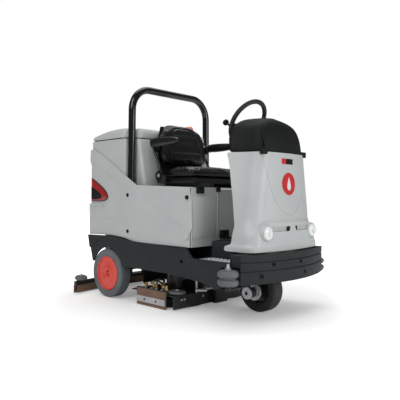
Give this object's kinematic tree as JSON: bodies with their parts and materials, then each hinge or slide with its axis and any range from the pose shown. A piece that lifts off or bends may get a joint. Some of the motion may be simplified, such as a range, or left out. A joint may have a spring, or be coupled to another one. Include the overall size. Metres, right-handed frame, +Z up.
{
  "type": "ride on scrubber",
  "caption": "Ride-on floor scrubber with seat, front cowl and steering wheel, hoop guard, lidded tank, brush deck and rear squeegee.",
  "frame": {"origin": "floor level, under the middle of the overall box", "axes": "+Z up, front faces -Y, driver right hand is -X"},
  "size_m": [1.016, 1.6358, 1.47],
  "materials": {
    "frame_paint": "satin black powder coat",
    "skirt_plastic": "anthracite moulded plastic",
    "bumper_plastic": "anthracite moulded plastic",
    "tread_aluminium": "pressed tread",
    "body_plastic": "light grey rotational moulding",
    "battery_case": "black case",
    "tank_plastic": "moulded tank",
    "motor_case": "black motor case",
    "black_tube": "gloss black",
    "red_lens": "red lamp lens",
    "clear_lens": "frosted clear lens",
    "amber_lens": "amber lens",
    "cap_plastic": "grained black",
    "grip_rubber": "black grip",
    "cast_aluminium": "cast and turned",
    "black_tyre": "solid tyre",
    "grey_tyre": "solid grey tyre",
    "red_hub": "red-orange paint",
    "roller_rubber": "grey rubber",
    "tan_rubber": "tan gum rubber",
    "brush_plastic": "nylon bristle",
    "seat_vinyl": "glossy black vinyl",
    "red_button": "red",
    "steel_key": "brushed"
  },
  "bodies": {
    "chassis": {"main_frame": "frame_paint", "skirt_left": "skirt_plastic", "skirt_right": "skirt_plastic", "foot_platform": "skirt_plastic", "step_plates": "tread_aluminium", "side_panel_left": "body_plastic", "side_panel_right": "body_plastic", "rear_panel": "body_plastic", "seat_box_front": "body_plastic", "seat_deck": "body_plastic", "batteries": "battery_case", "solution_tank": "tank_plastic", "suction_motor": "motor_case", "recovery_tank": "body_plastic", "hoop_guard": "black_tube", "rear_lamps": "red_lens", "front_cowl": "body_plastic", "head_lamps": "clear_lens", "dash_cap": "cap_plastic", "dashboard": "cap_plastic", "column_tube": "black_tube", "bumper": "bumper_plastic", "panel_fasteners": "cap_plastic"},
    "lid": {"tank_lid": "body_plastic", "beacon_base": "cap_plastic", "beacon_lens": "amber_lens"},
    "steering_wheel": {"steering_wheel": "grip_rubber"},
    "spinner": {"spinner_knob": "cap_plastic"},
    "fork": {"steering_fork": "frame_paint", "drive_motor": "cast_aluminium"},
    "drive_wheel": {"drive_hub": "cast_aluminium", "drive_tyre": "black_tyre"},
    "rear_wheel_left": {"rear_tyre_left": "grey_tyre", "rear_hub_left": "red_hub"},
    "rear_wheel_right": {"rear_tyre_right": "grey_tyre", "rear_hub_right": "red_hub"},
    "front_roller_left": {"front_roller_left": "roller_rubber"},
    "front_roller_right": {"front_roller_right": "roller_rubber"},
    "deck": {"deck_plate": "frame_paint", "deck_guards": "tan_rubber", "guard_strips": "tread_aluminium", "brush_motors": "motor_case"},
    "brush_left": {"brush_left": "brush_plastic"},
    "brush_right": {"brush_right": "brush_plastic"},
    "deck_roller_left": {"deck_roller_left": "roller_rubber"},
    "deck_roller_right": {"deck_roller_right": "roller_rubber"},
    "squeegee": {"squeegee_body": "frame_paint", "squeegee_blades": "tan_rubber"},
    "squeegee_roller_left": {"squeegee_roller_left": "roller_rubber"},
    "squeegee_roller_right": {"squeegee_roller_right": "roller_rubber"},
    "seat": {"seat_base": "frame_paint", "seat_cushion": "seat_vinyl"},
    "seat_back": {"seat_back": "seat_vinyl", "seat_back_frame": "cap_plastic"},
    "armrest_left": {"armrest_left": "seat_vinyl"},
    "armrest_right": {"armrest_right": "seat_vinyl"},
    "accelerator": {"accelerator_pedal": "grip_rubber"},
    "brake": {"brake_pedal": "grip_rubber"},
    "stop_button": {"emergency_button": "red_button"},
    "key": {"ignition_key": "steel_key"}
  },
  "joints": [
    {"name": "lid_hinge", "type": "hinge", "parent": "chassis", "child": "lid", "pos_m": [0, 0.698, 1.106], "axis": [-1, 0, 0], "range_deg": [0, 75]},
    {"name": "steering_turn", "type": "hinge", "parent": "chassis", "child": "steering_wheel", "pos_m": [0, -0.444, 1.183], "axis": [0, 0.8387, 0.5446], "range_deg": [-270, 270]},
    {"name": "spinner_turn", "type": "hinge", "parent": "steering_wheel", "child": "spinner", "pos_m": [-0.13156, -0.39444, 1.15809], "axis": [0, 0.8387, 0.5446], "continuous": true},
    {"name": "fork_turn", "type": "hinge", "parent": "chassis", "child": "fork", "pos_m": [0, -0.555, 0.3], "axis": [0, 0, 1], "range_deg": [-80, 80]},
    {"name": "drive_spin", "type": "hinge", "parent": "fork", "child": "drive_wheel", "pos_m": [0, -0.555, 0.14], "axis": [1, 0, 0], "continuous": true},
    {"name": "rear_wheel_left_spin", "type": "hinge", "parent": "chassis", "child": "rear_wheel_left", "pos_m": [0.3845, 0.464, 0.168], "axis": [1, 0, 0], "continuous": true},
    {"name": "front_roller_left_spin", "type": "hinge", "parent": "chassis", "child": "front_roller_left", "pos_m": [0.441, -0.669, 0.266], "axis": [0, 0, 1], "continuous": true},
    {"name": "rear_wheel_right_spin", "type": "hinge", "parent": "chassis", "child": "rear_wheel_right", "pos_m": [-0.3845, 0.464, 0.168], "axis": [1, 0, 0], "continuous": true},
    {"name": "front_roller_right_spin", "type": "hinge", "parent": "chassis", "child": "front_roller_right", "pos_m": [-0.441, -0.669, 0.266], "axis": [0, 0, 1], "continuous": true},
    {"name": "deck_lift", "type": "slide", "parent": "chassis", "child": "deck", "axis": [0, 0, 1], "range_m": [0, 0.06]},
    {"name": "brush_left_spin", "type": "hinge", "parent": "deck", "child": "brush_left", "pos_m": [0.2, 0.012, 0.04], "axis": [0, 0, 1], "continuous": true},
    {"name": "brush_right_spin", "type": "hinge", "parent": "deck", "child": "brush_right", "pos_m": [-0.2, 0.012, 0.04], "axis": [0, 0, 1], "continuous": true},
    {"name": "deck_roller_left_spin", "type": "hinge", "parent": "deck", "child": "deck_roller_left", "pos_m": [0.33, -0.148, 0.105], "axis": [0, 0, 1], "continuous": true},
    {"name": "deck_roller_right_spin", "type": "hinge", "parent": "deck", "child": "deck_roller_right", "pos_m": [-0.33, -0.148, 0.105], "axis": [0, 0, 1], "continuous": true},
    {"name": "squeegee_lift", "type": "hinge", "parent": "chassis", "child": "squeegee", "pos_m": [0, 0.63, 0.15], "axis": [1, 0, 0], "range_deg": [0, 12]},
    {"name": "squeegee_roller_left_spin", "type": "hinge", "parent": "squeegee", "child": "squeegee_roller_left", "pos_m": [0.463, 0.728, 0.109], "axis": [0, 0, 1], "continuous": true},
    {"name": "squeegee_roller_right_spin", "type": "hinge", "parent": "squeegee", "child": "squeegee_roller_right", "pos_m": [-0.463, 0.728, 0.109], "axis": [0, 0, 1], "continuous": true},
    {"name": "seat_slide", "type": "slide", "parent": "chassis", "child": "seat", "axis": [0, -1, 0], "range_m": [0, 0.09]},
    {"name": "back_recline", "type": "hinge", "parent": "seat", "child": "seat_back", "pos_m": [0, 0.099, 0.846], "axis": [1, 0, 0], "range_deg": [0, 25]},
    {"name": "armrest_left_fold", "type": "hinge", "parent": "seat_back", "child": "armrest_left", "pos_m": [0.28, 0.149, 1.046], "axis": [-1, 0, 0], "range_deg": [0, 90]},
    {"name": "armrest_right_fold", "type": "hinge", "parent": "seat_back", "child": "armrest_right", "pos_m": [-0.28, 0.149, 1.046], "axis": [-1, 0, 0], "range_deg": [0, 90]},
    {"name": "accelerator_press", "type": "hinge", "parent": "chassis", "child": "accelerator", "pos_m": [-0.12, -0.677, 0.508], "axis": [-1, 0, 0], "range_deg": [0, 14], "stiffness_Nm_per_rad": 6, "springref_deg": -14.32},
    {"name": "brake_press", "type": "hinge", "parent": "chassis", "child": "brake", "pos_m": [0.12, -0.677, 0.508], "axis": [-1, 0, 0], "range_deg": [0, 14], "stiffness_Nm_per_rad": 6, "springref_deg": -14.32},
    {"name": "stop_press", "type": "slide", "parent": "chassis", "child": "stop_button", "axis": [0, -0.9903, -0.1386], "range_m": [0, 0.004], "stiffness_N_per_m": 800, "springref_m": -0.002},
    {"name": "key_turn", "type": "hinge", "parent": "chassis", "child": "key", "pos_m": [0.14, -0.5371, 1.06839], "axis": [0, 0.9903, 0.1386], "range_deg": [-60, 0]}
  ],
  "couplings": [
    {"joint": "fork_turn", "follows": "steering_turn", "ratio": 0.296},
    {"joint": "brush_left_spin", "follows": "brush_right_spin", "ratio": -1}
  ]
}
